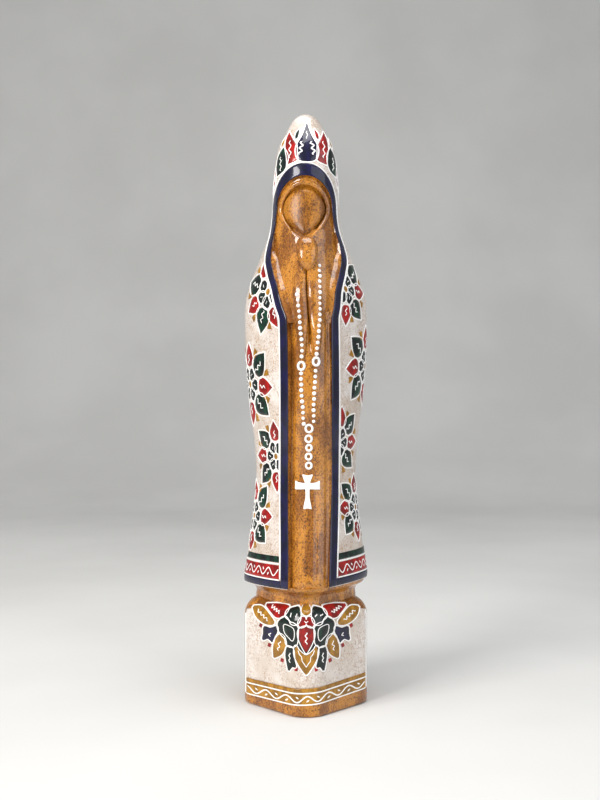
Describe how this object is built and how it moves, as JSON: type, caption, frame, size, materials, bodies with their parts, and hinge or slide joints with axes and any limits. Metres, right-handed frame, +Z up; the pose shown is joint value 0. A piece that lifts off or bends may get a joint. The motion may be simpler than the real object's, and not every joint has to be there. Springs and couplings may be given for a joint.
{
  "type": "madonna statue",
  "caption": "Free-standing carved wood madonna figure with a blank face, hooded mantle, praying hands and rosary on a plinth, painted and varnished.",
  "frame": {"origin": "on the resting face, under the middle of the plinth", "axes": "+Z up from the plinth to the tip of the hood, the figure looks along -Y, +X to the viewer's right seen from the front"},
  "size_m": [0.0631, 0.0634, 0.3],
  "materials": {
    "wood": "golden brown carved wood under thick gloss varnish",
    "white_ground": "crackled and speckled off-white ground paint on wood, gloss varnish",
    "navy_paint": "navy blue acrylic paint, gloss varnish",
    "red_paint": "red acrylic paint, gloss varnish",
    "green_paint": "dark green acrylic paint, gloss varnish",
    "ochre_paint": "ochre gold acrylic paint, gloss varnish",
    "white_line": "opaque white raised dot and line paint, gloss"
  },
  "bodies": {
    "root": {"plinth_block": "wood", "neck": "wood", "gown_column": "wood", "chest": "wood", "head_lining": "wood", "veil_roll": "wood", "face_pad": "wood", "praying_hands": "wood", "forearm_left": "wood", "forearm_right": "wood", "mantle": "white_ground", "plinth_panel": "white_ground", "navy_border": "navy_paint", "navy_hem": "navy_paint", "crown_flame": "navy_paint", "medallion_dark": "navy_paint", "red_hem_band": "red_paint", "flower_red_petals": "red_paint", "crown_red_petals": "red_paint", "medallion_red": "red_paint", "green_hem_band": "green_paint", "flower_leaves": "green_paint", "crown_green_petals": "green_paint", "flower_eyes": "ochre_paint", "medallion_ochre": "ochre_paint", "plinth_foot_band": "ochre_paint", "rosary_beads": "white_line", "rosary_rings": "white_line", "rosary_cross": "white_line"}
  },
  "joints": []
}
